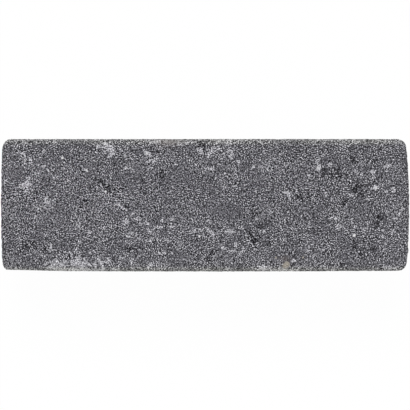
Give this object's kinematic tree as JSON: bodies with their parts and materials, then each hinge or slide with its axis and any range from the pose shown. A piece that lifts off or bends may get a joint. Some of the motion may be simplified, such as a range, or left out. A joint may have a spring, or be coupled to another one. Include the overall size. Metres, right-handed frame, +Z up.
{
  "type": "tumbled concrete paver",
  "caption": "Solid strip-format concrete paver with drum-worn rounded edges, slightly swelling ends and a grainy dark grey face, for laying paths and drives.",
  "frame": {"origin": "middle of the bed face, which is also the bottom centre of the block's box", "axes": "+X along the block's length, +Y across it towards its back, +Z up from the bed face to the wear face"},
  "size_m": [0.2, 0.065, 0.065],
  "materials": {
    "concrete": "open-grained pressed concrete, dark grey through its body, worn matt by tumbling"
  },
  "bodies": {
    "root": {"paver": "concrete"}
  },
  "joints": []
}
